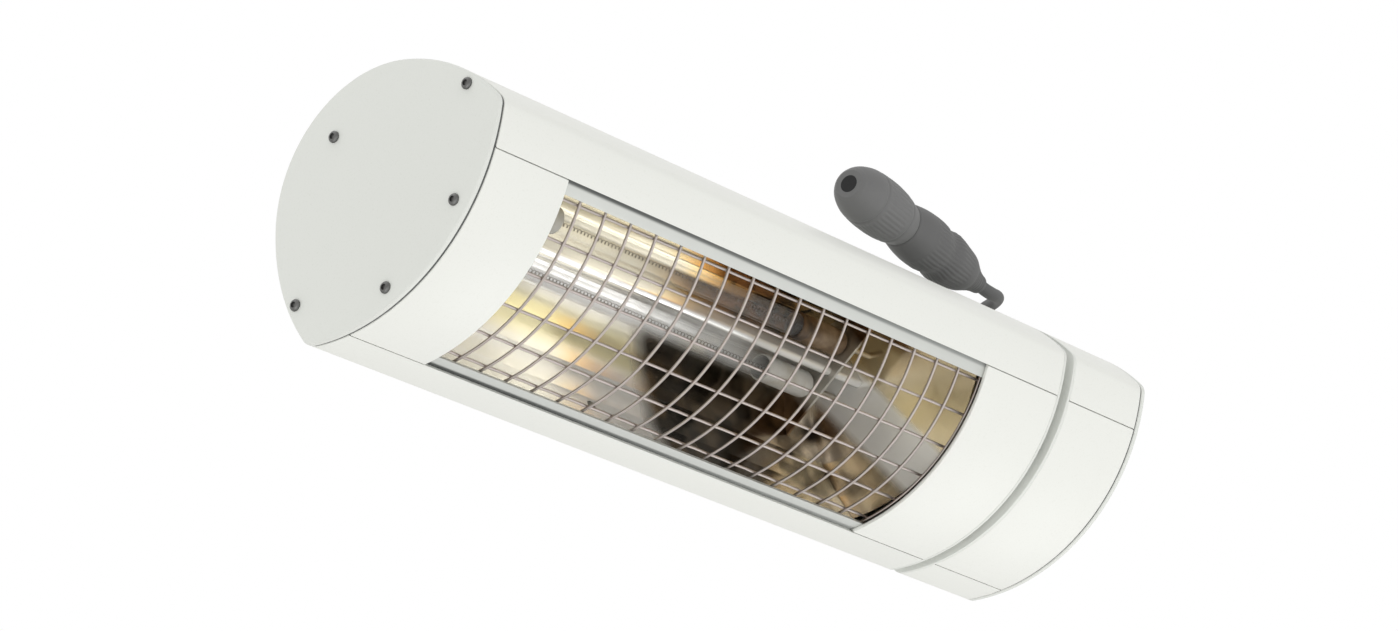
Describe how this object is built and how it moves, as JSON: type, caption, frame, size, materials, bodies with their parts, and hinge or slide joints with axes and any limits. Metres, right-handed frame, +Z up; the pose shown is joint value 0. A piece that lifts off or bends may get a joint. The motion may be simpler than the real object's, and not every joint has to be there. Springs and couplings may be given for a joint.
{
  "type": "under-umbrella infrared patio heat lamp",
  "caption": "White tubular infrared heat lamp with a wire guard over quartz tubes, a tilting strut clamp on its back, and a short lead with an in-line coupling",
  "frame": {"origin": "middle of the strut seat of the clamp, on the face of the lower pad", "axes": "+Z up, out of the seat toward the strut and away from the body; +X along the strut and the body toward the terminal housing; the window looks down -Z"},
  "size_m": [0.5236, 0.1698, 0.2021],
  "materials": {
    "body_paint": "warm off-white powder coat, satin",
    "plate_paint": "off-white powder coat, satin",
    "bracket_paint": "off-white powder coat, satin",
    "seal_rubber": "matt grey",
    "dark_steel": "blackened",
    "zinc_steel": "zinc plated",
    "stainless_steel": "stainless",
    "guard_wire": "bright welded wire",
    "mirror_aluminium": "polished, warm tint",
    "quartz": "clear",
    "filament_wire": "dull tungsten",
    "ceramic": "white ceramic, unglazed",
    "scorched_steel": "heat-browned steel",
    "nickel_wire": "nickel",
    "terminal_brass": "plain",
    "black_plastic": "fine grain",
    "gland_plastic": "matt grey",
    "lead_rubber": "matt dark grey",
    "coupling_rubber": "matt dark grey"
  },
  "bodies": {
    "clamp": {"clamp_saddle": "bracket_paint", "clamp_cap": "bracket_paint", "clamp_bolts": "stainless_steel", "clamp_nuts": "stainless_steel", "lower_pad": "seal_rubber", "upper_pad": "seal_rubber"},
    "lamp": {"rear_shell": "body_paint", "near_front_cover": "body_paint", "far_front_cover": "body_paint", "near_end_plate": "plate_paint", "near_plate_seal": "seal_rubber", "near_plate_screws": "dark_steel", "far_end_plate": "plate_paint", "far_plate_seal": "seal_rubber", "far_plate_screws": "dark_steel", "terminal_shell": "body_paint", "terminal_front_cover": "body_paint", "tube_bulkhead": "plate_paint", "terminal_bulkhead": "plate_paint", "joint_spacers": "dark_steel", "joint_bolts": "zinc_steel", "wire_guard": "guard_wire", "reflector": "mirror_aluminium", "near_end_reflector": "mirror_aluminium", "far_end_reflector": "mirror_aluminium", "reflector_ribs": "zinc_steel", "reflector_rivets": "dark_steel", "quartz_tube_left": "quartz", "quartz_tube_right": "quartz", "filament_left": "filament_wire", "filament_right": "filament_wire", "lamp_caps": "ceramic", "near_lamp_holder": "scorched_steel", "far_lamp_holder": "scorched_steel", "series_link": "nickel_wire", "line_leads": "nickel_wire", "wire_bushings": "ceramic", "terminal_block": "ceramic", "terminal_screws": "terminal_brass", "block_screws": "zinc_steel", "earth_stud": "terminal_brass", "earth_nuts": "zinc_steel", "backing_plate": "zinc_steel", "hinge_base": "bracket_paint", "hinge_base_screws": "stainless_steel", "pivot_bolt": "stainless_steel", "friction_washers": "seal_rubber", "knob_washer": "stainless_steel", "cable_hood": "bracket_paint", "hood_screws": "stainless_steel", "cable_gland": "gland_plastic", "lamp_lead": "lead_rubber", "coupling_plug": "coupling_rubber", "plug_pins": "terminal_brass"},
    "knob": {"lock_knob": "black_plastic"},
    "socket": {"coupling_socket": "coupling_rubber", "socket_contacts": "terminal_brass"}
  },
  "joints": [
    {"name": "tilt", "type": "hinge", "parent": "clamp", "child": "lamp", "pos_m": [0, 0, -0.032], "axis": [0, 1, 0], "range_deg": [-7, 12]},
    {"name": "knob_turn", "type": "hinge", "parent": "lamp", "child": "knob", "pos_m": [0, 0.02, -0.032], "axis": [0, 1, 0], "continuous": true},
    {"name": "plug_pull", "type": "slide", "parent": "lamp", "child": "socket", "axis": [-0.989, -0.1478, 0], "range_m": [0, 0.03]}
  ]
}
